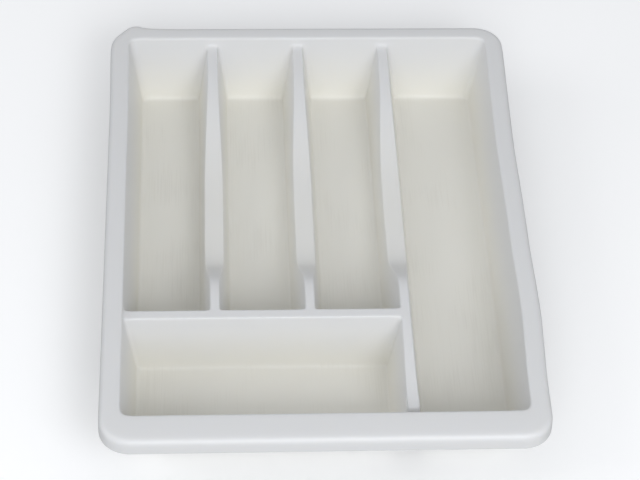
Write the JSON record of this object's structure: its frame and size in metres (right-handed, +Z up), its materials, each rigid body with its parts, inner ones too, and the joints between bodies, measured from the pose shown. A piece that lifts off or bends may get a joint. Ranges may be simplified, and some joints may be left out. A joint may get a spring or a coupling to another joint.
{
  "type": "cutlery tray",
  "caption": "Moulded cutlery tray for a kitchen drawer, with long bays, a cross bay at the front, scooped dividers and a turned-down rim.",
  "frame": {"origin": "middle of the base, on the plane that the feet stand on", "axes": "+X to the right of someone at the drawer's front, +Y to the rear of the drawer, +Z up"},
  "size_m": [0.315, 0.4098, 0.0601],
  "materials": {
    "white_polypropylene": "satin moulded",
    "soft_foot": "matte"
  },
  "bodies": {
    "root": {"tray_moulding": "white_polypropylene", "foot_front_left": "soft_foot", "foot_front_right": "soft_foot", "foot_rear_left": "soft_foot", "foot_rear_right": "soft_foot"}
  },
  "joints": []
}
